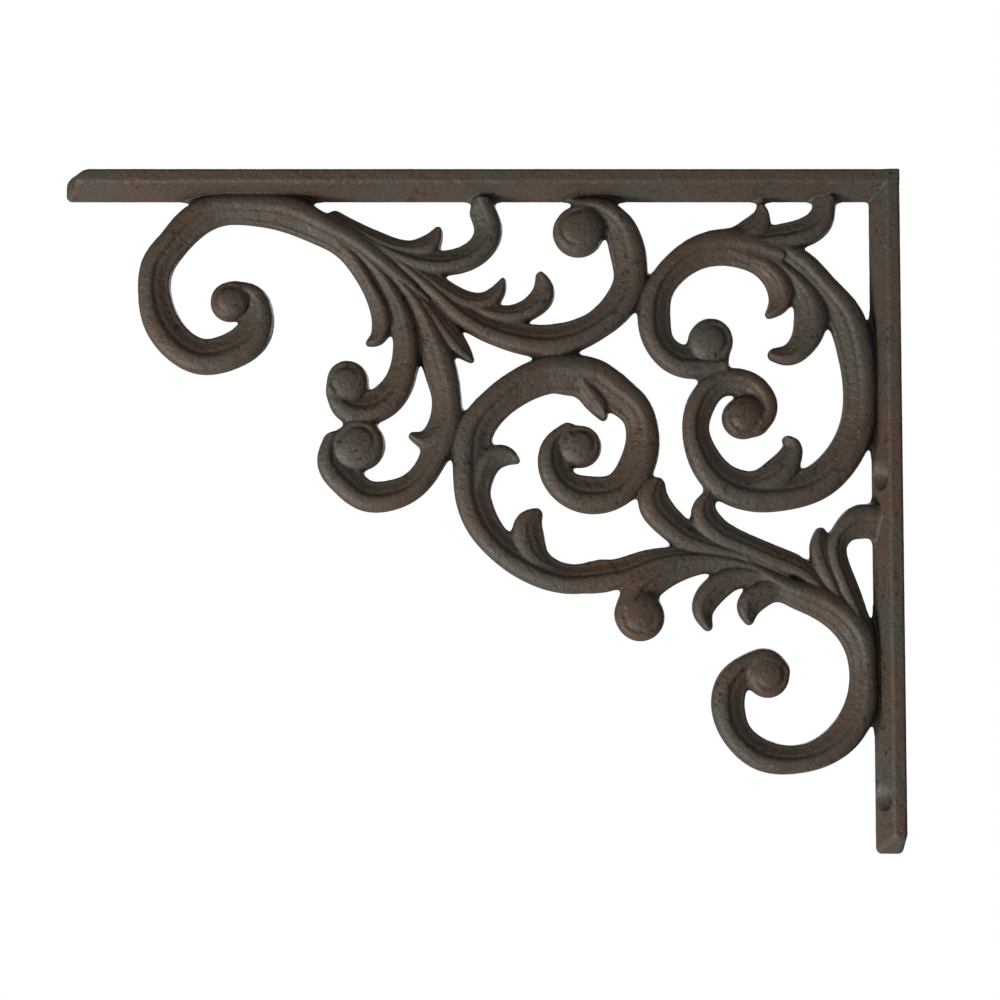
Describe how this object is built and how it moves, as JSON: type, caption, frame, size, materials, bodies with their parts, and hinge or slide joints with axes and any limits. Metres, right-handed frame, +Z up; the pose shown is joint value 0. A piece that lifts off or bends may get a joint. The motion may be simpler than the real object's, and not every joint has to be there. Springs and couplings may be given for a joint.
{
  "type": "shelf bracket",
  "caption": "Ornamental cast-iron shelf bracket: a shelf arm and a wall arm at a right angle, filled with scrolls and leaves in relief on a flat back.",
  "frame": {"origin": "upper end of the wall face, where it meets the shelf face, at mid-width of the arms", "axes": "+X out of the wall face into the wall, +Z up out of the shelf face, +Y out of the flat back; the ornament faces -Y and the shelf arm reaches along -X"},
  "size_m": [0.275, 0.012, 0.224],
  "materials": {
    "cast_iron": "dark brown antique finish, lightly polished on the high places, with a grainy cast surface"
  },
  "bodies": {
    "root": {"ball_leaf": "cast_iron", "bow_lower_sprout": "cast_iron", "bow_upper_sprout": "cast_iron", "centre_bow": "cast_iron", "centre_scroll": "cast_iron", "centre_tip_leaf": "cast_iron", "corner_hook_leaf": "cast_iron", "corner_leaf": "cast_iron", "corner_spur": "cast_iron", "corner_tendril": "cast_iron", "drop_tip_leaf": "cast_iron", "end_leaf": "cast_iron", "end_scroll": "cast_iron", "inner_drop_scroll": "cast_iron", "long_hanging_leaf": "cast_iron", "long_stem": "cast_iron", "lower_corner_scroll": "cast_iron", "lower_corner_sprout": "cast_iron", "lower_stem_leaf": "cast_iron", "mid_hook_leaf": "cast_iron", "mid_leaf": "cast_iron", "outer_drop_scroll": "cast_iron", "shelf_arm": "cast_iron", "shelf_leaf": "cast_iron", "shelf_scroll": "cast_iron", "shelf_tendril": "cast_iron", "short_hanging_leaf": "cast_iron", "spur_leaf": "cast_iron", "upper_corner_scroll": "cast_iron", "upper_stem_leaf": "cast_iron", "wall_arm": "cast_iron", "wall_end_scroll": "cast_iron", "wall_leaf": "cast_iron", "wall_tendril": "cast_iron"}
  },
  "joints": []
}
